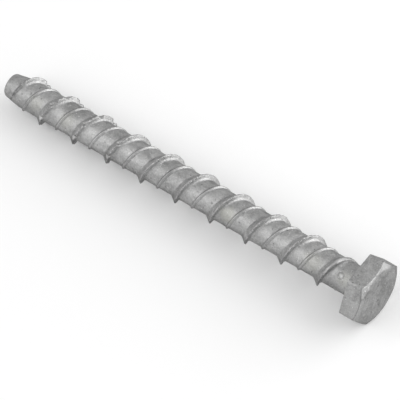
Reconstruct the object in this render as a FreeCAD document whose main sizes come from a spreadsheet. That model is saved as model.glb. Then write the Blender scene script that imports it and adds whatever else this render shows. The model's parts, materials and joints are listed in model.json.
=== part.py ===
import FreeCAD, Part
import os

import Sketcher

os.makedirs("parts", exist_ok=True)
doc = FreeCAD.newDocument("concrete_screw")

# Driving dimensions in millimetres and degrees: alias, value, meaning
SIZES = [
    ("shank_length", 125, "from the tip to the underside of the head"),
    ("core_diameter", 9.1, "plain shank between the threads"),
    ("tip_diameter", 7.2, "blunt end of the nose"),
    ("nose_length", 5.7, "taper from the blunt end to the full shank"),
    ("nose_edge", 0.4, "bevel round the blunt end"),
    ("collar", 0.8, "cone between the shank and the head"),
    ("across_flats", 18, "hexagon spanner size"),
    ("head_height", 5.7, "from the underside to the end face"),
    ("face_diameter", 16.2, "flat circle that the chamfer leaves on the end face"),
    ("chamfer_angle", 28, "slope of the chamfer from the end face"),
    ("lead", 12.4, "advance of each thread in one turn"),
    ("tall_diameter", 12, "crest of the tall thread"),
    ("tall_land", 0.4, "width of its crest"),
    ("tall_front_angle", 54, "lean of its flank on the tip side, from square to the shank"),
    ("tall_back_angle", 28, "lean of its flank on the head side"),
    ("low_diameter", 9.8, "crest of the low thread"),
    ("low_land", 0.3, "width of its crest"),
    ("low_flank_angle", 45, "lean of both its flanks"),
    ("low_offset", 5.3, "from each tall crest to the low crest on its head side"),
    ("flank_sink", 0.2, "how far the flanks run on below the shank's surface"),
    ("root_depth", 1.2, "how far the threads are rooted below the shank's surface"),
    ("thread_start", 3, "from the tip to the tall thread's first crest"),
    ("thread_end", 3, "from the head to the tall thread's last crest"),
    ("under_crest", 12.33, "from the tip to the tall crest that the screw lies on"),
    ("start_rise", 7, "from the tip to where the crests reach full height"),
    ("end_fall", 7, "from the head to where the crests begin to fall"),
    ("end_gone", 4.9, "from the head to where the crests have all but gone"),
    ("runout_lift", 0.1, "height that is left of the threads at both their ends"),
    ("hand", -1, "sense of the threads: -1 left-hand, 1 right-hand"),
    ("notch_count", 7, "cutting notches in each of the tall thread's first turns"),
    ("notch_width", 1.3, "opening of a notch at the crest"),
    ("notch_depth", 0.7, "from the crest to the bottom of a notch"),
    ("notch_turn", 70, "from the top of the screw to the first notch, seen from the head"),
    ("notched_length", 44, "from the tip to the end of the notches"),
    ("over", 1, "distance that a cutting outline reaches past what it cuts"),
]

sheet = doc.addObject("Spreadsheet::Sheet", "sizes")
for row, (alias, value, meaning) in enumerate(SIZES, start=1):
    sheet.set("A%d" % row, alias)
    sheet.set("B%d" % row, str(value))
    sheet.set("C%d" % row, meaning)
    sheet.setAlias("B%d" % row, alias)
doc.recompute()

# The screw is one forged, rolled and galvanised piece: one body along its own X axis.
# Its origin is the centre of the head's underside, with the head on +X and the tip on -X.
body = doc.addObject("PartDesign::Body", "screw_body")
body.Label = "concrete_screw"


def new_sketch(name, role):
    """An empty sketch on one of the body's origin planes."""
    sketch = body.newObject("Sketcher::SketchObject", name)
    plane = next(item for item in body.Origin.OriginFeatures if item.Role == role)
    sketch.AttachmentSupport = [(plane, "")]
    sketch.MapMode = "FlatFace"
    return sketch


def pin(sketch, line, across, up):
    """Ties the start of a line to its place, given as two expressions on the sheet."""
    axes = (("DistanceX", across, -2), ("DistanceY", up, -1))
    for kind, expression, axis in axes:
        if expression == "0":
            sketch.addConstraint(Sketcher.Constraint("PointOnObject", line, 1, axis))
            continue
        value = float(sheet.evalExpression(expression))
        index = sketch.addConstraint(Sketcher.Constraint(kind, -1, 1, line, 1, value))
        sketch.setExpression("Constraints[%d]" % index, expression)


def draw(sketch, corners):
    """A closed outline of straight lines through corners given as pairs of expressions."""
    spots = []
    for across, up in corners:
        spots.append(FreeCAD.Vector(float(sheet.evalExpression(across)), float(sheet.evalExpression(up)), 0))
    count = len(spots)
    for line in range(count):
        sketch.addGeometry(Part.LineSegment(spots[line], spots[(line + 1) % count]))
    for line in range(count):
        sketch.addConstraint(Sketcher.Constraint("Coincident", line, 2, (line + 1) % count, 1))
    for line, (across, up) in enumerate(corners):
        pin(sketch, line, across, up)
    doc.recompute()


def turned(kind, name, corners):
    """An outline in the body's XZ plane turned once round the screw's axis."""
    sketch = new_sketch(name + "_outline", "XZ_Plane")
    draw(sketch, corners)
    feature = body.newObject("PartDesign::" + kind, name)
    feature.Profile = sketch
    feature.ReferenceAxis = (sketch, ["H_Axis"])
    feature.Angle = 360
    doc.recompute()


# Shank: a plain rod with a short tapered nose, and a small cone where it meets the head
TIP = "-sizes.shank_length"
CORE = "sizes.core_diameter / 2"
turned("Revolution", "shank", [
    (TIP, "0"),
    (TIP, "sizes.tip_diameter / 2 - sizes.nose_edge"),
    (TIP + " + sizes.nose_edge", "sizes.tip_diameter / 2"),
    (TIP + " + sizes.nose_length", CORE),
    ("-sizes.collar", CORE),
    ("0", CORE + " + sizes.collar"),
    ("0", "0"),
])

# Head: a plain hexagon that lies on one of its flats
hexagon = new_sketch("hexagon", "YZ_Plane")
CORNER = "sizes.across_flats / sqrt(3)"
FLAT = "sizes.across_flats / 2"
draw(hexagon, [
    (CORNER, "0"),
    (CORNER + " / 2", FLAT),
    ("-" + CORNER + " / 2", FLAT),
    ("-" + CORNER, "0"),
    ("-" + CORNER + " / 2", "-" + FLAT),
    (CORNER + " / 2", "-" + FLAT),
])
head = body.newObject("PartDesign::Pad", "head")
head.Profile = hexagon
head.setExpression("Length", "sizes.head_height")
doc.recompute()

# Chamfer: the corners turned down on the end face
FACE = "sizes.face_diameter / 2"
OUTSIDE = "(" + CORNER + " + sizes.over)"
SLOPE = "tan(sizes.chamfer_angle * 1 deg)"
turned("Groove", "chamfer", [
    ("sizes.head_height + sizes.over", FACE + " - sizes.over / " + SLOPE),
    ("sizes.head_height + sizes.over", OUTSIDE),
    ("sizes.head_height - (" + OUTSIDE + " - " + FACE + ") * " + SLOPE, OUTSIDE),
])


def thread(name, side, shift, diameter, land, front_angle, back_angle):
    """One helical ridge, begun on one side of the axis (1 or -1) and shifted along the shank."""
    sketch = new_sketch(name + "_section", "XZ_Plane")
    # the sketch's plane turns about the axis so that a tall crest comes under the screw at under_crest
    tilt = FreeCAD.Rotation(FreeCAD.Vector(1, 0, 0), 1)
    sketch.AttachmentOffset = FreeCAD.Placement(FreeCAD.Vector(), tilt)
    sketch.setExpression(
        "AttachmentOffset.Rotation.Angle",
        "180 + sizes.hand * 360 * (sizes.thread_start - sizes.under_crest) / sizes.lead")
    sign = "" if side > 0 else "-"
    crest = "sizes.%s / 2" % diameter
    shoulder = "(" + CORE + " - sizes.flank_sink)"
    root = "(" + CORE + " - sizes.root_depth)"
    middle = TIP + " + sizes.thread_start + " + shift
    half_land = "sizes.%s / 2" % land
    reach = "(" + crest + " - " + shoulder + ") * tan(sizes.%s * 1 deg)"
    front = middle + " - " + half_land + " - " + reach % front_angle
    back = middle + " + " + half_land + " + " + reach % back_angle
    draw(sketch, [
        (front, sign + root),
        (front, sign + shoulder),
        (middle + " - " + half_land, sign + crest),
        (middle + " + " + half_land, sign + crest),
        (back, sign + shoulder),
        (back, sign + root),
    ])
    feature = body.newObject("PartDesign::AdditiveHelix", name)
    feature.Profile = sketch
    feature.ReferenceAxis = (sketch, ["H_Axis"])
    feature.Mode = "pitch-height-angle"
    feature.setExpression("Pitch", "sizes.lead")
    feature.setExpression("Height", "sizes.shank_length - sizes.thread_start - sizes.thread_end")
    feature.LeftHanded = sheet.hand < 0
    doc.recompute()


thread("tall_thread", 1, "0", "tall_diameter", "tall_land", "tall_front_angle", "tall_back_angle")
thread("low_thread", -1, "(sizes.low_offset - sizes.lead / 2)",
       "low_diameter", "low_land", "low_flank_angle", "low_flank_angle")

# Run-outs: the crests rise from the nose and fall away before the head, as rolled threads do
CREST = "sizes.tall_diameter / 2"
TAPER = "(sizes.core_diameter - sizes.tip_diameter) / 2 / sizes.nose_length"
LOW_START = "(sizes.tip_diameter / 2 + " + TAPER + " * sizes.thread_start + sizes.runout_lift)"
LOW_END = "(" + CORE + " + sizes.runout_lift)"
turned("Groove", "start_runout", [
    (TIP + " - sizes.over", "sizes.tip_diameter / 2 + sizes.runout_lift"),
    (TIP + " + sizes.thread_start", LOW_START),
    (TIP + " + sizes.start_rise"
     + " + sizes.over * (sizes.start_rise - sizes.thread_start) / (" + CREST + " - " + LOW_START + ")",
     CREST + " + sizes.over"),
    (TIP + " - sizes.over", CREST + " + sizes.over"),
])
turned("Groove", "end_runout", [
    ("-sizes.collar", LOW_END),
    ("-sizes.end_gone", LOW_END),
    ("-sizes.end_fall - sizes.over * (sizes.end_fall - sizes.end_gone) / (" + CREST + " - " + LOW_END + ")",
     CREST + " + sizes.over"),
    ("-sizes.collar", CREST + " + sizes.over"),
])

# Cutting notches: rows of V grooves along the shank, across the tall thread's first crests
notch_outline = new_sketch("notch_outline", "YZ_Plane")
roll = FreeCAD.Rotation(FreeCAD.Vector(0, 0, 1), 1)
notch_outline.AttachmentOffset = FreeCAD.Placement(FreeCAD.Vector(), roll)
notch_outline.setExpression("AttachmentOffset.Rotation.Angle", "sizes.notch_turn")
notch_outline.setExpression("AttachmentOffset.Base.z", "sizes.notched_length - sizes.shank_length")
NOTCH_SIDE = "sizes.notch_width / 2 * (sizes.notch_depth + sizes.over) / sizes.notch_depth"
draw(notch_outline, [
    ("0", CREST + " - sizes.notch_depth"),
    (NOTCH_SIDE, CREST + " + sizes.over"),
    ("-(" + NOTCH_SIDE + ")", CREST + " + sizes.over"),
])
notch = body.newObject("PartDesign::Pocket", "notch")
notch.Profile = notch_outline
notch.setExpression("Length", "sizes.notched_length + sizes.over")
doc.recompute()
notches = body.newObject("PartDesign::PolarPattern", "notches")
notches.Originals = [notch]
notches.Axis = (notch_outline, ["N_Axis"])
notches.Angle = 360
notches.setExpression("Occurrences", "sizes.notch_count")
body.Tip = notches
doc.recompute()

# At rest the screw lies on the edge of a flat under the head and on the first full crest
body.Placement = FreeCAD.Placement(FreeCAD.Vector(), FreeCAD.Rotation(FreeCAD.Vector(0, -1, 0), 1))
body.setExpression(
    "Placement.Rotation.Angle",
    "atan((sizes.across_flats - sizes.tall_diameter) / 2 / (sizes.shank_length - sizes.under_crest))")
doc.recompute()

for item in doc.Objects:
    if "Invalid" in item.State or "Error" in item.State:
        raise RuntimeError("%s could not be computed: %s" % (item.Name, item.State))
if body.Shape.isNull() or not body.Shape.isValid():
    raise RuntimeError("the screw has no valid shape")
if len(body.Shape.Solids) != 1:
    raise RuntimeError("the screw is not one solid")
for feature in body.Group:
    if hasattr(feature, "Shape") and feature.Shape.Solids:
        print("%-14s volume %.1f mm3" % (feature.Name, feature.Shape.Volume))
box = body.Shape.optimalBoundingBox()
print("box x %.3f to %.3f, y %.3f to %.3f, z %.3f to %.3f" % (
    box.XMin, box.XMax, box.YMin, box.YMax, box.ZMin, box.ZMax))
body.Shape.exportStep("parts/%s.step" % body.Label)
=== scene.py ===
# %% [markdown]
# # A galvanised concrete screw
# A concrete screw is one piece of steel. A length of wire is headed into a hexagon, two threads
# are rolled onto its shank, a tall one that cuts into the wall of a drilled hole and a low one
# that guides it, and the whole is dipped in molten zinc. This lesson models it as one closed mesh:
# the threads come from a single outline that is spun round the axis while it slides along, and the
# nose and the head grow out of the two ends of that skin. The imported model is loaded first,
# because it says where the screw lies and how large it is.

# %% Load the frame
import json
import math

import bmesh
import bpy
from mathutils import Matrix, Vector, noise


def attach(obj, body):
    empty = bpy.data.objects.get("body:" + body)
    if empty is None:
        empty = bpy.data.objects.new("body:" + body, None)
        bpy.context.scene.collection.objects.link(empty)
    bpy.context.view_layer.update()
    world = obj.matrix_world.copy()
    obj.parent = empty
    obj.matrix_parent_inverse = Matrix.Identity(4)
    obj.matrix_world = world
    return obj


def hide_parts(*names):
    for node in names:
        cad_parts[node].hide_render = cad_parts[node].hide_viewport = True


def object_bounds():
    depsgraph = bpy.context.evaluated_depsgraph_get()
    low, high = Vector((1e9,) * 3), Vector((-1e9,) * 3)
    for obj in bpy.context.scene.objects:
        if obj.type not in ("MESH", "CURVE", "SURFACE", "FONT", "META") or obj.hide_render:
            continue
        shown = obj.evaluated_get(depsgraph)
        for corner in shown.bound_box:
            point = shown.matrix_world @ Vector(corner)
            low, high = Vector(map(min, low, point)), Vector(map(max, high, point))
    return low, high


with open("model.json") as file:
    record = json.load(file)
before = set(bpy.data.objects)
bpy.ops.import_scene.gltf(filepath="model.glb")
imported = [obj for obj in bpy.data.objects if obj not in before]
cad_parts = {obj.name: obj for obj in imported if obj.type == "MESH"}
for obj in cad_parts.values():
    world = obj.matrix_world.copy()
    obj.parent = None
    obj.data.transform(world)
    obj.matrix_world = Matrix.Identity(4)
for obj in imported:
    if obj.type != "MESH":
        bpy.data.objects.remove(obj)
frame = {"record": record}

MM = 0.001
cad_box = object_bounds()
print("frame box", [tuple(round(value / MM, 2) for value in corner) for corner in cad_box])

# %% [markdown]
# ## Camera
# The photograph was taken from above and beside the head with a long lens, so the screw hardly
# narrows towards its tip. A camera is easiest to place by the point that it looks at, the side and
# the height that it looks from, and how far it leans, as a photographer would say it.

# %% Camera
VIEW_TARGET = Vector((-53.45, -2.58, 0)) * MM
VIEW_DISTANCE = 793.6 * MM
VIEW_AZIMUTH = math.radians(46.18)
VIEW_ELEVATION = math.radians(56.12)
VIEW_ROLL = math.radians(-10.23)
LENS = 256.9
SENSOR_WIDTH = 36
CLIP_START = 10 * MM

camera_data = bpy.data.cameras.new("camera")
camera_data.lens = LENS
camera_data.sensor_width = SENSOR_WIDTH
camera_data.clip_start = CLIP_START
camera = bpy.data.objects.new("camera", camera_data)
bpy.context.scene.collection.objects.link(camera)
bpy.context.scene.camera = camera
camera_turn = (Matrix.Rotation(VIEW_AZIMUTH, 4, "Z")
               @ Matrix.Rotation(math.pi / 2 - VIEW_ELEVATION, 4, "X")
               @ Matrix.Rotation(VIEW_ROLL, 4, "Z"))
camera.matrix_world = (Matrix.Translation(VIEW_TARGET) @ camera_turn
                       @ Matrix.Translation((0, 0, VIEW_DISTANCE)))
print("camera at", tuple(round(value, 4) for value in camera.matrix_world.translation))

# %% [markdown]
# ## Shader sums
# A material's nodes are easier to read as a formula. This small class holds one socket of a node
# tree. Adding or multiplying two of them adds the Math node for it, and one method makes every
# other node: its settings first, because they decide which sockets it has, and then its values and
# links. A socket is found by its name, or by its number where several have the same name.


# %% Shader sums
class Shade:
    """One socket of a node tree, with which sums are written as Python expressions."""

    MIX_COLOURS = 6, 7
    MIXED_COLOUR = 2

    def __init__(self, tree, socket=None):
        self.tree = tree
        self.socket = socket

    def node(self, kind, settings=None, inputs=None, output=0):
        """Adds a node with its settings, then the values or links of its sockets."""
        made = self.tree.nodes.new(kind)
        for name, value in (settings or {}).items():
            setattr(made, name, value)
        for name, value in (inputs or {}).items():
            if isinstance(value, Shade):
                self.tree.links.new(value.socket, made.inputs[name])
            else:
                made.inputs[name].default_value = value
        return Shade(self.tree, made.outputs[output] if made.outputs else None)

    def sum_of(self, operation, first, second):
        """The result of one sum on two values."""
        return self.node("ShaderNodeMath", {"operation": operation}, {0: first, 1: second})

    def __add__(self, other):
        return self.sum_of("ADD", self, other)

    __radd__ = __add__

    def __mul__(self, other):
        return self.sum_of("MULTIPLY", self, other)

    __rmul__ = __mul__

    def __sub__(self, other):
        return self.sum_of("SUBTRACT", self, other)

    def __rsub__(self, other):
        return self.sum_of("SUBTRACT", other, self)

    def mix(self, first, second):
        """The colour between two colours that this value picks."""
        inputs = {"Factor": self, **dict(zip(self.MIX_COLOURS, (first, second)))}
        return self.node("ShaderNodeMix", {"data_type": "RGBA"}, inputs, self.MIXED_COLOUR)

    def ramp(self, low, high):
        """This value stretched so that low becomes 0 and high becomes 1."""
        inputs = {"Value": self, "From Min": low, "From Max": high}
        return self.node("ShaderNodeMapRange", {"clamp": True}, inputs)


def new_material(name):
    """A material with an empty node tree, and the Shade that adds nodes to it."""
    material = bpy.data.materials.new(name)
    material.use_nodes = True
    material.node_tree.nodes.clear()
    return material, Shade(material.node_tree)


print("shader sums ready")

# %% [markdown]
# ## Floor, backdrop and light
# The screw lies on a white floor in a light tent. The floor is a plain diffuse white that keeps
# the screw's shadow. The world is the tent and gives an even light from all round. Dull metal
# shows its form by what it mirrors, so four soft lamps are added, where the bright places of the
# real screw say that they stood: a long low one beyond the head makes its chamfer bright, one
# above that lights the upper flanks of the threads, one in front lights the upper side of the
# shank, and a weak low one beyond the tip lights the flanks that face it.

# %% Floor
FLOOR_SIZE = 3.0
FLOOR_WHITE = (0.9, 0.9, 0.9, 1)

floor_mesh = bmesh.new()
bmesh.ops.create_grid(floor_mesh, x_segments=1, y_segments=1, size=FLOOR_SIZE / 2)
bmesh.ops.translate(floor_mesh, verts=floor_mesh.verts, vec=(0, 0, cad_box[0][2]))
floor_data = bpy.data.meshes.new("floor")
floor_mesh.to_mesh(floor_data)
floor_mesh.free()
floor = bpy.data.objects.new("floor", floor_data)
bpy.context.scene.collection.objects.link(floor)

floor_paint, shade = new_material("floor_white")
white = shade.node("ShaderNodeBsdfDiffuse", None, {"Color": FLOOR_WHITE})
shade.node("ShaderNodeOutputMaterial", None, {"Surface": white})
floor_data.materials.append(floor_paint)
print("floor at z = %.2f mm" % (cad_box[0][2] / MM))

# %% Light
TENT_WHITE = (1, 1, 1, 1)
TENT_STRENGTH = 0.65

world = bpy.data.worlds.new("tent")
bpy.context.scene.world = world
world.use_nodes = True
world.node_tree.nodes.clear()
shade = Shade(world.node_tree)
tent_inputs = {"Color": TENT_WHITE, "Strength": TENT_STRENGTH}
tent = shade.node("ShaderNodeBackground", None, tent_inputs)
shade.node("ShaderNodeOutputWorld", None, {"Surface": tent})

LAMP_DISTANCE = 0.8


def lamp(name, azimuth, elevation, width, height, power):
    """An area lamp that shines on the screw's middle from one side."""
    data = bpy.data.lights.new(name, "AREA")
    data.shape = "RECTANGLE"
    data.size = width
    data.size_y = height
    data.energy = power
    made = bpy.data.objects.new(name, data)
    bpy.context.scene.collection.objects.link(made)
    turn = (Matrix.Rotation(math.radians(azimuth), 4, "Z")
            @ Matrix.Rotation(math.radians(90 - elevation), 4, "X"))
    made.matrix_world = (Matrix.Translation(VIEW_TARGET) @ turn
                         @ Matrix.Translation((0, 0, LAMP_DISTANCE)))
    print(name, "at", tuple(round(value, 3) for value in made.matrix_world.translation))


lamp("head_lamp", azimuth=120, elevation=12, width=1.6, height=0.36, power=4.5)
lamp("back_lamp", azimuth=135, elevation=35, width=1, height=0.5, power=2.7)
lamp("front_lamp", azimuth=317, elevation=42, width=1, height=0.6, power=2.5)
lamp("tip_lamp", azimuth=268, elevation=10, width=1, height=0.3, power=0.3)

# %% [markdown]
# ## Clouds in the zinc
# Hot-dip zinc cools to a dull, mottled grey: cloudy patches, a fine grain, small dark pits and a
# few bright specks. An image could be laid over the screw, but noises of different size, which are
# read in the screw's own coordinates, have no seams and look the same from every side. Most of a
# noise lies between 0.3 and 0.7, which is stretched to make clouds. Only its peaks make pits and
# specks.

# %% Clouds in the zinc
zinc, shade = new_material("galvanised_zinc")
place = shade.node("ShaderNodeTexCoord", output="Object")


def cloud(size, detail, rough=0.5):
    """A noise whose blobs are about size wide."""
    noise_inputs = {"Vector": place, "Scale": 1 / size, "Detail": detail, "Roughness": rough}
    return shade.node("ShaderNodeTexNoise", None, noise_inputs)


MOST = (0.3, 0.7)
PIT_PEAKS = (0.68, 0.74)
SPECK_PEAKS = (0.7, 0.76)
BEAD_PEAKS = (0.54, 0.62)
patches = cloud(size=8 * MM, detail=3).ramp(*MOST)
mottle = cloud(size=1.3 * MM, detail=3, rough=0.6).ramp(*MOST)
grain = cloud(size=0.4 * MM, detail=2, rough=0.7).ramp(*MOST)
pits = cloud(size=0.8 * MM, detail=1).ramp(*PIT_PEAKS)
specks = cloud(size=0.6 * MM, detail=1).ramp(*SPECK_PEAKS)
beads = cloud(size=0.7 * MM, detail=1).ramp(*BEAD_PEAKS)
print("clouds take", len(zinc.node_tree.nodes), "nodes")

# %% [markdown]
# ## Marks with a place of their own
# Some marks on this screw are too large to leave to chance: warm stains where flux was left, a few
# dents, one of them wide with a pale middle, darker places and paler places. The head and a patch
# on it are a little darker than the shank. The other darker places are painted shade, on the
# undersides of two tall crests and over parts of the shank's highlight. Most paler places are
# where the zinc is rubbed bright or lies paler, but three on the last turn of the thread under the
# head are painted light, which lifts the shade that the head casts and mirrors there. Each is a
# round spot about a point, whose soft edge the mottle makes ragged, and the distance to that point
# is one Vector Math node.


# %% Marks
def spots(places, edge):
    """The sum of ragged spots (x, y, z, reach, strength), with lengths in millimetres."""
    total = 0
    for x, y, z, reach, strength in places:
        ends = {0: place, 1: (x * MM, y * MM, z * MM)}
        away = shade.node("ShaderNodeVectorMath", {"operation": "DISTANCE"}, ends, "Value")
        ragged = away + edge * MM * (mottle - 0.5)
        total = total + strength * ragged.ramp((reach + edge / 2) * MM, (reach - edge / 2) * MM)
    return total


STAIN = (2.2, 0.25)
DENT = (0.35, 0.5)
stains = spots([(-112.8, -3, 0.3, *STAIN), (-101.3, -3.1, 0.7, *STAIN),
                (-43.2, -3.2, 2, 2.2, 0.4), (-14.2, -2.9, 3.1, 2.8, 0.25),
                (-3.6, -2.7, 3.4, *STAIN)], edge=1.6)
dents = spots([(-48.9, -2.6, 2.4, *DENT), (-118.2, -2.7, 0.5, *DENT), (5.6, 0.4, 4.4, *DENT),
               (5.7, -0.4, -1.8, *DENT), (5.4, -6.2, 5.8, *DENT), (4, 5.1, 9.1, *DENT),
               (-6.3, 1.7, 4.6, *DENT), (-4.9, -2.4, 3.8, 1.1, 0.45)], edge=0.3)
# The head and one patch on it are a little darker; the other spots are painted shade, over the
# shank's highlight and on the undersides of two tall crests.
darker_and_painted_shade = spots([(2, 0, 0, 12, 0.13), (-118, -3.8, -1, 3.2, 0.3), (-74.9, -1.1, 2.4, 2.6, 0.3),
              (-84.9, -5.7, -1.2, 1.6, 0.7), (-96.9, -6, -2, 1.6, 0.6),
              (5, -5.2, 7.4, 1.6, 0.4)], edge=3)
# The second to fourth spots, on the last turn of the thread under the head, are painted light that
# lifts the head's shade there; the others are rubbed or paler zinc.
rubbed_and_painted_light = spots([(4.9, 5.7, 7.7, 2.2, 0.22), (-6.9, 1.2, 5.1, 1.6, 0.4),
                (-7.7, -2.4, 4.1, 1.2, 0.2), (-7.3, -1.1, 4.8, 1, 0.2),
                (-4.9, -2.4, 3.8, 0.3, 0.5), (-120, -2.8, 1, 1.2, 0.25)], edge=1)
print("with marks", len(zinc.node_tree.nodes), "nodes")

# %% [markdown]
# ## Colour of the zinc
# The colour goes from one layer to the next, each mixed over the one before. The last ones follow
# the shape: an attribute of the mesh named bend, which is made further down, is high on the sharp
# crests and negative in the creases. Zinc gathers in pale beads on the crests. Between the beads
# the crests get painted shade, which dims their highlight, and the creases get painted shade too.

# %% Colour of the zinc
DARK, MIDDLE, PALE = (0.22, 0.22, 0.219, 1), (0.62, 0.62, 0.617, 1), (0.8, 0.8, 0.8, 1)
DIRT_AND_SHADE, WARM, BEAD_GREY = (0.1, 0.1, 0.1, 1), (0.46, 0.46, 0.41, 1), (0.7, 0.7, 0.7, 1)
CREST_BENDS = (1.5, 4)      # in bends per millimetre
CREASE_BENDS = (-0.7, -1.6)

bend = shade.node("ShaderNodeAttribute", {"attribute_name": "bend"}, output="Fac")
crest = bend.ramp(*CREST_BENDS)
crease = bend.ramp(*CREASE_BENDS)
colour = (0.3 * patches + 0.3 * mottle + 0.4 * grain).mix(DARK, MIDDLE)
# The darker spots, mostly painted shade, pull the colour towards dark.
colour = darker_and_painted_shade.mix(colour, DARK)
colour = stains.mix(colour, WARM)
colour = (0.6 * pits + dents).mix(colour, DIRT_AND_SHADE)
# Paler spots: rubbed zinc, and painted light on the last turn of the thread under the head.
colour = (0.6 * specks + rubbed_and_painted_light).mix(colour, PALE)
colour = (0.5 * crest * beads).mix(colour, BEAD_GREY)
# Painted shade on the crests between the beads, which dims their highlight.
colour = (0.7 * crest * (1 - beads)).mix(colour, DIRT_AND_SHADE)
# Painted shade in the creases and on the head's outer edges.
colour = (0.6 * crease).mix(colour, DIRT_AND_SHADE)
print("with colour", len(zinc.node_tree.nodes), "nodes")

# %% [markdown]
# ## Surface of the zinc
# Zinc is a metal, so its colour is the colour of what it mirrors. It is dull, because its crystals
# scatter the light, and a little bump makes it uneven. Rough zinc hides its own shine where it is
# seen at a low angle. The specular tint, which a metal shows only there, is dark for that reason.

# %% Surface of the zinc
LOW_ANGLE_GREY = (0.15, 0.15, 0.15, 1)
SMOOTHEST, ROUGHER = 0.46, 0.1
BUMP_STRENGTH = 0.6
BUMP_DEPTH = 0.1 * MM

height = 0.4 * mottle + 0.6 * grain - 0.5 * pits - dents + 0.5 * specks
bump_inputs = {"Strength": BUMP_STRENGTH, "Distance": BUMP_DEPTH, "Height": height}
bump = shade.node("ShaderNodeBump", None, bump_inputs)
metal = shade.node("ShaderNodeBsdfPrincipled", None, {
    "Base Color": colour, "Roughness": SMOOTHEST + ROUGHER * mottle, "Metallic": 1,
    "Specular Tint": LOW_ANGLE_GREY, "Normal": bump})
shade.node("ShaderNodeOutputMaterial", None, {"Surface": metal})
print("zinc has", len(zinc.node_tree.nodes), "nodes")

# %% [markdown]
# ## A path with rounded corners
# Every outline of the screw is straight lines with rounded corners. A helper walks along such a
# line: each corner says how far from it the rounding starts and in how many steps it goes, and a
# quadratic curve, whose middle control point is the corner itself, rounds it. The same helper
# draws the threads, the nose and the head.


# %% Rounded path
def rounded_path(corners, spans):
    """Points along corners (x, radius, rounding, its steps), with spans[i] steps on straight i."""
    points = []
    for index, steps in enumerate(spans):
        here, there = corners[index], corners[index + 1]
        start, end = Vector(here[:2]), Vector(there[:2])
        along = (end - start).normalized()
        first, last = start + along * here[2], end - along * there[2]
        points += [first.lerp(last, step / steps) for step in range(steps + 1)]
        if index + 1 < len(spans):
            after = end + (Vector(corners[index + 2][:2]) - end).normalized() * there[2]
            for step in range(1, there[3]):
                share = step / there[3]
                points.append(last.lerp(end, share).lerp(end.lerp(after, share), share))
    return points


right_angle = [(0, 0, 0), (1, 0, 0.3, 3), (1, 1, 0)]
print("a rounded right angle has", len(rounded_path(right_angle, [2, 2])), "points")

# %% [markdown]
# ## The threads
# One lead of the thread is a line with eight corners: the tall ridge, which leans back on the side
# of the tip and falls steeply into a wide fillet on the side of the head, and the low ridge, whose
# foot is a little softer on the side of the tip. One spin sweeps the line round the axis while it
# slides along by one lead, and copies of that turn, each a lead further on, make the whole shank,
# because the end of every turn meets the beginning of the next. The threads are left-handed, as in
# the photograph.

# %% Outline of one lead
CORE = 9.1 / 2 * MM
TALL = 12 / 2 * MM
LOW = 10 / 2 * MM
LEAD = 12.4 * MM
HALF_TALL_LAND = 0.04 * MM
TALL_FRONT = math.tan(math.radians(56)) * (TALL - CORE)
TALL_BACK = math.tan(math.radians(20)) * (TALL - CORE)
HALF_LOW_LAND = 0.15 * MM
LOW_FLANK = LOW - CORE
LOW_OFFSET = 5.27 * MM

CREST_ROUND = 0.03 * MM
FRONT_ROUND = 0.2 * MM
BACK_FILLET = 0.65 * MM
LOW_ROUND = 0.1 * MM
LOW_FILLET = 0.25 * MM
ROUND_STEPS, FILLET_STEPS = 2, 5
BETWEEN = 8 * MM            # from a tall crest to the end of its lead
lead_corners = [
    (BETWEEN - LEAD, CORE, 0),
    (-HALF_TALL_LAND - TALL_FRONT, CORE, FRONT_ROUND, ROUND_STEPS),
    (-HALF_TALL_LAND, TALL, CREST_ROUND, ROUND_STEPS),
    (HALF_TALL_LAND, TALL, CREST_ROUND, ROUND_STEPS),
    (HALF_TALL_LAND + TALL_BACK, CORE, BACK_FILLET, FILLET_STEPS),
    (LOW_OFFSET - HALF_LOW_LAND - LOW_FLANK, CORE, LOW_FILLET, ROUND_STEPS),
    (LOW_OFFSET - HALF_LOW_LAND, LOW, LOW_ROUND, ROUND_STEPS),
    (LOW_OFFSET + HALF_LOW_LAND, LOW, LOW_ROUND, ROUND_STEPS),
    (LOW_OFFSET + HALF_LOW_LAND + LOW_FLANK, CORE, LOW_ROUND, ROUND_STEPS),
    (BETWEEN, CORE, 0),
]
LEAD_SPANS = (6, 7, 1, 2, 10, 1, 1, 1, 6)
lead_path = rounded_path(lead_corners, LEAD_SPANS)
print("one lead has", len(lead_path), "points")

# %% Spin the threads
SHANK_LENGTH = 125 * MM
HAND = -1
UNDER_CREST = 12.33 * MM    # from the tip to the tall crest that is underneath
COLUMNS = 150
SPARE_TURNS = 2             # what sticks out beyond the shank's ends is cut off later
MERGE = 0.005 * MM

skin = bmesh.new()
first_crest = -SHANK_LENGTH + UNDER_CREST + HAND * LEAD / 4
outline = [skin.verts.new((first_crest + point.x, point.y, 0)) for point in lead_path]
for start, end in zip(outline, outline[1:]):
    skin.edges.new((start, end))
bmesh.ops.spin(skin, geom=skin.verts[:] + skin.edges[:], cent=(0, 0, 0), axis=(1, 0, 0),
               dvec=(HAND * LEAD / COLUMNS, 0, 0), angle=math.tau, steps=COLUMNS,
               use_merge=False)
one_turn = skin.verts[:] + skin.edges[:] + skin.faces[:]
bmesh.ops.translate(skin, verts=skin.verts, vec=(-LEAD, 0, 0))
for turn in range(1, round(SHANK_LENGTH / LEAD) + SPARE_TURNS + 1):
    copy = bmesh.ops.duplicate(skin, geom=one_turn)["geom"]
    copied = [item for item in copy if isinstance(item, bmesh.types.BMVert)]
    bmesh.ops.translate(skin, verts=copied, vec=(turn * LEAD, 0, 0))
bmesh.ops.remove_doubles(skin, verts=skin.verts, dist=MERGE)
print("the spun skin has", len(skin.verts), "points and", len(skin.faces), "faces")

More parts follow.
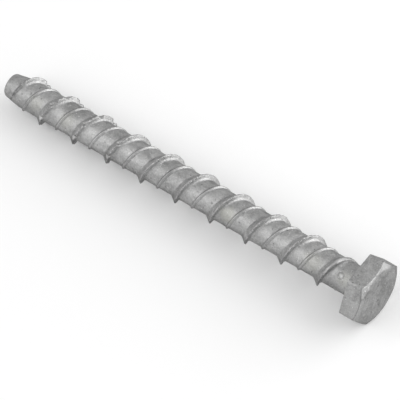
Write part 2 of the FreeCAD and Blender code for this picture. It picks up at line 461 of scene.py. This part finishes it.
# %% [markdown]
# ## Run-outs and notches
# Rolled threads don't start at full height. At the nose, where the shank tapers to the tip, they
# rise out of it. Under the head they sink by the height of the low ridge, so that it ends first,
# and a falling limit takes the tall one down over its last turn. Each point of the skin is simply
# brought nearer the axis where that asks for it. The tall thread's first turns also carry V
# notches, in rows along the shank, that help it to cut. A soft minimum, which rounds the corner
# between two surfaces, keeps every such edge as blunt as zinc leaves it.


# %% Helpers for radii
def soft_min(first, second, reach):
    """The smaller of two lengths, with the corner where they cross rounded over reach."""
    near = max(reach - abs(first - second), 0) / reach
    return min(first, second) - near * near * reach / 4


def share_between(value, low, high):
    """How far a value is on its way from low to high, between 0 and 1."""
    return min(max((value - low) / (high - low), 0), 1)


def polar(point):
    """The radius of a point from the screw's axis, and its angle from the side towards the top."""
    return math.hypot(point.y, point.z), math.atan2(point.z, point.y)


print("half way from 2 to 4 is", share_between(3, 2, 4), "and two equal lengths of 1 give",
      soft_min(1, 1, 0.4))

# %% Run-outs and notches
NOSE = 5.7 * MM
TIP = 7.2 / 2 * MM
RISE_FROM, RISE_TO = 3.0 * MM, 6.8 * MM
FALL_FROM, FALL_TO = 9.5 * MM, 3.2 * MM
SINK_FROM, SINK_TO = 8.0 * MM, 5.0 * MM
NOTCH_ROWS = 7
NOTCH_DEPTH = 1.0 * MM
NOTCH_WIDTH = 2.0 * MM
NOTCH_TURN = math.radians(70)
NOTCHED_FROM, NOTCHED_TO = 8.2 * MM, 44 * MM
SOFT = 0.1 * MM


def shank_radius(x, radius, angle):
    """The radius of the finished shank where the endless thread has this radius."""
    from_tip, to_head = x + SHANK_LENGTH, -x
    core = CORE - (CORE - TIP) * (1 - share_between(from_tip, 0, NOSE))
    ridge = (radius - CORE) * (TALL - core) / (TALL - CORE)
    ridge -= (TALL - core) * (1 - share_between(from_tip, RISE_FROM, RISE_TO))
    ridge -= LOW_FLANK * (1 - share_between(to_head, SINK_TO, SINK_FROM))
    fall = (TALL - core) * share_between(to_head, FALL_TO, FALL_FROM)
    ridge = soft_min(ridge, fall, SOFT) if ridge > 0 else 0
    radius = core + max(ridge, 0)
    if NOTCHED_FROM < from_tip < NOTCHED_TO:
        row = math.tau / NOTCH_ROWS
        off = (angle - math.pi / 2 - NOTCH_TURN + row / 2) % row - row / 2
        notch = TALL - NOTCH_DEPTH * (1 - 2 * abs(off) * TALL / NOTCH_WIDTH)
        radius = soft_min(radius, notch, SOFT)
    return radius


for vert in skin.verts:
    old_radius, angle = polar(vert.co)
    scale = shank_radius(vert.co.x, old_radius, angle) / old_radius
    vert.co.y *= scale
    vert.co.z *= scale
widest = max(polar(vert.co)[0] for vert in skin.verts)
print("widest point now", round(widest / MM, 3), "mm from the axis")

# %% [markdown]
# ## Nose and head
# The skin is cut off square at both ends, and each end grows on ring by ring. The nose is rounded
# and closed with a flat blunt face. The head starts with a small fillet under it, runs out over
# the bearing face to the hexagon, up the flats, over the chamfer and in to the middle of the end
# face. Every column of points follows its own rounded path, so the crest of the chamfer bends
# round the corners as a turned chamfer does.

# %% Paths of the nose and the head
FLAT = 18 / 2 * MM
CORNER_ROUND = 0.25 * MM
HALF_SIDE = math.pi / 6     # the angle between the middle of a flat and its corner


def hexagon_radius(angle):
    """From the axis to the hexagon's side in one direction; its corners are arcs."""
    off = (angle - math.pi / 2 + HALF_SIDE) % (2 * HALF_SIDE) - HALF_SIDE
    arc_centre = (FLAT - CORNER_ROUND) / math.cos(HALF_SIDE)
    if FLAT * math.tan(abs(off)) <= arc_centre * math.sin(HALF_SIDE):
        return FLAT / math.cos(off)
    to_corner = HALF_SIDE - abs(off)
    across = arc_centre * math.sin(to_corner)
    return arc_centre * math.cos(to_corner) + math.sqrt(CORNER_ROUND ** 2 - across ** 2)


NOSE_ROUND = 0.55 * MM
NOSE_SPANS = (1, 8)
EDGE_STEPS = 4
TINY = 0.02 * MM            # the radius of the last ring before the middle


def nose_path(angle):
    """From the cut in the nose over its rounded edge to the middle of the blunt end."""
    corners = [(-SHANK_LENGTH + NOSE_ROUND, TIP + NOSE_ROUND * (CORE - TIP) / NOSE, 0),
               (-SHANK_LENGTH, TIP, NOSE_ROUND, EDGE_STEPS), (-SHANK_LENGTH, TINY, 0)]
    return rounded_path(corners, NOSE_SPANS)[2:]


HEAD = 5.7 * MM
FACE = 16.7 / 2 * MM
CHAMFER = math.tan(math.radians(28))
COLLAR = 1.6 * MM
EDGE_ROUND = 0.15 * MM
SIDE_ROUND = 0.22 * MM
FACE_ROUND = 0.35 * MM
HEAD_SPANS = (1, 8, 9, 4, 14)


def head_path(angle):
    """From the cut under the head to the middle of its end face."""
    side = hexagon_radius(angle)
    corners = [(-COLLAR, CORE, 0),
               (0, CORE, COLLAR, EDGE_STEPS),
               (0, side, EDGE_ROUND, EDGE_STEPS),
               (HEAD - (side - FACE) * CHAMFER, side, SIDE_ROUND, EDGE_STEPS),
               (HEAD, FACE, FACE_ROUND, EDGE_STEPS),
               (HEAD, TINY, 0)]
    return rounded_path(corners, HEAD_SPANS)[2:]


print("the nose takes", len(nose_path(0)), "rings and the head", len(head_path(0)))

# %% [markdown]
# ## Cutting and growing
# A plane cuts the skin at each end, and points on the cut that almost touch are merged. The rim is
# copied into a small mesh of its own, where each new ring is an extrusion of the one before, and
# the last ring is merged into the middle. The first two points of every path lie on the rim, which
# is there already, and that is why both paths leave them out.


# %% Cut and grow
SLIVER = CORE / COLUMNS * 2
ANGLE_DIGITS = 6


def cut_square(bm, x, outward):
    """Removes the skin beyond x and returns the edges of the hole."""
    cut = bmesh.ops.bisect_plane(bm, geom=bm.verts[:] + bm.edges[:] + bm.faces[:], dist=MERGE,
                                 plane_co=(x, 0, 0), plane_no=(outward, 0, 0), clear_outer=True)
    rim = [item for item in cut["geom_cut"] if isinstance(item, bmesh.types.BMVert)]
    bmesh.ops.remove_doubles(bm, verts=rim, dist=SLIVER)
    return [edge for edge in bm.edges
            if edge.is_boundary and abs(edge.verts[0].co.x - x) < 2 * MERGE]


def grow(bm, rim, path_at):
    """Grows an open rim ring by ring along each point's own path and closes it in the middle."""
    points = [vert.co for edge in rim for vert in edge.verts]
    angles = sorted({round(polar(point)[1], ANGLE_DIGITS) for point in points})
    paths = [path_at(angle) for angle in angles]
    start = [min(points, key=lambda point: abs(polar(point)[1] - angle)) for angle in angles]
    end = bmesh.new()
    ring = [end.verts.new(point) for point in start]
    edges = [end.edges.new(pair) for pair in zip(ring, ring[1:] + ring[:1])]
    for step in range(len(paths[0])):
        made = bmesh.ops.extrude_edge_only(end, edges=edges)["geom"]
        edges = [item for item in made if isinstance(item, bmesh.types.BMEdge)]
        ring = [item for item in made if isinstance(item, bmesh.types.BMVert)]
        in_order = sorted(ring, key=lambda vert: polar(vert.co)[1])
        for vert, angle, path in zip(in_order, angles, paths):
            x, radius = path[step]
            vert.co = (x, radius * math.cos(angle), radius * math.sin(angle))
    bmesh.ops.pointmerge(end, verts=ring, merge_co=(ring[0].co.x, 0, 0))
    end_data = bpy.data.meshes.new("end")
    end.to_mesh(end_data)
    end.free()
    bm.from_mesh(end_data)
    bpy.data.meshes.remove(end_data)


grow(skin, cut_square(skin, -SHANK_LENGTH + NOSE_ROUND, -1), nose_path)
grow(skin, cut_square(skin, -COLLAR, 1), head_path)
rims = [vert for vert in skin.verts if vert.is_boundary]
bmesh.ops.remove_doubles(skin, verts=rims, dist=MERGE)
bmesh.ops.recalc_face_normals(skin, faces=skin.faces)
open_edges = sum(1 for edge in skin.edges if not edge.is_manifold)
print("closed skin:", len(skin.verts), "points,", len(skin.faces), "faces,",
      open_edges, "open edges")

# %% [markdown]
# ## Lumps of zinc
# Molten zinc doesn't drain evenly. It leaves a gently uneven surface, thicker here and thinner
# there, and ragged beads along the crests. Three noises push the points in and out along the
# normals: a broad one and a fine one everywhere, and one for the beads, on the crests alone, which
# adds more than it takes away. Broad forms like these belong in the mesh, because they show in the
# outline, and the finest grain is left to the material's bump.

# %% Lumps
BROAD_SIZE, BROAD = 2.6 * MM, 0.035 * MM
FINE_SIZE, FINE = 0.9 * MM, 0.025 * MM
BEAD_SIZE, BEAD, BEAD_LIFT = 0.6 * MM, 0.16 * MM, 0.5

skin.normal_update()
moves = []
for vert in skin.verts:
    radius, angle = polar(vert.co)
    on_crest = share_between(radius, LOW, TALL) if vert.co.x < 0 else 0
    broad = noise.noise(vert.co / BROAD_SIZE) * BROAD
    fine = noise.noise(vert.co / FINE_SIZE) * FINE
    bead = (noise.noise(vert.co / BEAD_SIZE) + BEAD_LIFT) * BEAD * on_crest
    moves.append(vert.normal * (broad + fine + bead))
for vert, move in zip(skin.verts, moves):
    vert.co += move
print("largest lump", round(max(move.length for move in moves) / MM, 3), "mm")

# %% [markdown]
# ## How the surface bends
# On a ridge the neighbours of a point lie below it, and in a crease above it. How far they lie
# below it, measured along the normal and divided by the square of their distance, is half the
# curvature, whatever the spacing of the points. It is averaged once with the neighbours' values,
# and kept as an attribute of the mesh in bends per millimetre, positive on edges and negative in
# creases. On the outer half of the head every bend counts as a crease, twice as deep but within a
# limit, so that the head's edges get the creases' painted shade, and the rest of the head counts
# as flat.

# %% Bend attribute
HEAD_EDGE_SHADE_LIMIT = -1.25

bend_layer = skin.verts.layers.float.new("bend")
skin.normal_update()
for vert in skin.verts:
    steps = [edge.other_vert(vert).co - vert.co for edge in vert.link_edges]
    depths = [-2 * MM * vert.normal.dot(step) / step.length_squared for step in steps]
    depth = sum(depths) / len(depths)
    if vert.co.x > -COLLAR:
        # On the head's outer half every edge becomes a crease, so that it gets painted shade.
        depth = max(-2 * abs(depth), HEAD_EDGE_SHADE_LIMIT) if vert.co.x > HEAD / 2 else 0
    vert[bend_layer] = depth
means = [sum(edge.other_vert(vert)[bend_layer] for edge in vert.link_edges) / len(vert.link_edges)
         for vert in skin.verts]
for vert, mean in zip(skin.verts, means):
    vert[bend_layer] = (vert[bend_layer] + mean) / 2
bends = sorted(vert[bend_layer] for vert in skin.verts)
for percent in (1, 10, 50, 90, 99):
    print("bend at", percent, "%:", round(bends[len(bends) * percent // 100], 3))

# %% [markdown]
# ## Laying it down
# The screw was modelled along the X axis. The frame's record gives the direction of the bearing
# face under the head, and the whole mesh is turned to it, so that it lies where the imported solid
# lies. Where a lump of zinc would reach into the floor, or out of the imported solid's box, it is
# pressed flat. Faces with more than four corners, which the cuts leave, are split into triangles.

# %% The finished piece
seat = next(mount for mount in frame["record"]["mounts"] if mount["name"] == "head_seat")
tilt = Vector((-1, 0, 0)).rotation_difference(Vector(seat["axis"])).to_matrix()
bmesh.ops.rotate(skin, verts=skin.verts, cent=(0, 0, 0), matrix=tilt)
lowest, highest = cad_box
for vert in skin.verts:
    for axis in range(3):
        vert.co[axis] = min(max(vert.co[axis], lowest[axis]), highest[axis])
bmesh.ops.triangulate(skin, faces=[face for face in skin.faces if len(face.verts) > 4])

screw_data = bpy.data.meshes.new("galvanised_screw")
skin.to_mesh(screw_data)
skin.free()
screw_data.shade_smooth()
screw = bpy.data.objects.new("galvanised_screw", screw_data)
bpy.context.scene.collection.objects.link(screw)
screw_data.materials.append(zinc)
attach(screw, "root")
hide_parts("concrete_screw")
triangles = sum(len(face.vertices) - 2 for face in screw_data.polygons)
print("the screw has", triangles, "triangles")

# %% [markdown]
# ## Look
# Colours are shown as they are written.

# %% Look
bpy.context.scene.view_settings.view_transform = "Standard"
